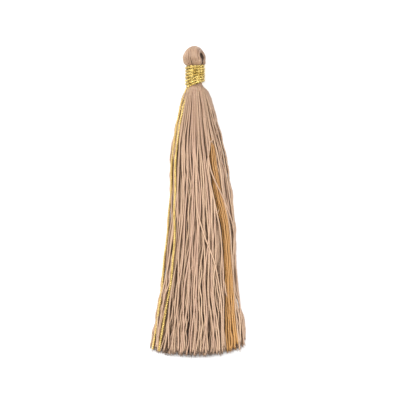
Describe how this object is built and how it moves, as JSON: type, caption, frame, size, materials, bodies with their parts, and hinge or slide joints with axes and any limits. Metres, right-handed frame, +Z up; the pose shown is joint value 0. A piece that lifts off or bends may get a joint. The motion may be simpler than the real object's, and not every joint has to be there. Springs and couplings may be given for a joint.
{
  "type": "silk tassel",
  "caption": "Silk tassel lying flat: a folded head with a small hanging eye, a wound gold binding with two loose ends, and a long skirt of beige silk strands with an ochre lock.",
  "frame": {"origin": "centre of the bounding box in X and Y, on the surface that the tassel lies on", "axes": "+Y along the tassel from hem to head, +Z up from the surface it lies on, +X to the right as seen from above with the head away"},
  "size_m": [0.0244, 0.08, 0.0063],
  "materials": {
    "beige_silk": "twisted silk, soft sheen",
    "ochre_silk": "twisted silk, soft sheen",
    "gold_thread": "metallic thread, glittering"
  },
  "bodies": {
    "root": {"head_loop": "beige_silk", "skirt": "beige_silk", "ochre_lock": "ochre_silk", "binding": "gold_thread"}
  },
  "joints": []
}
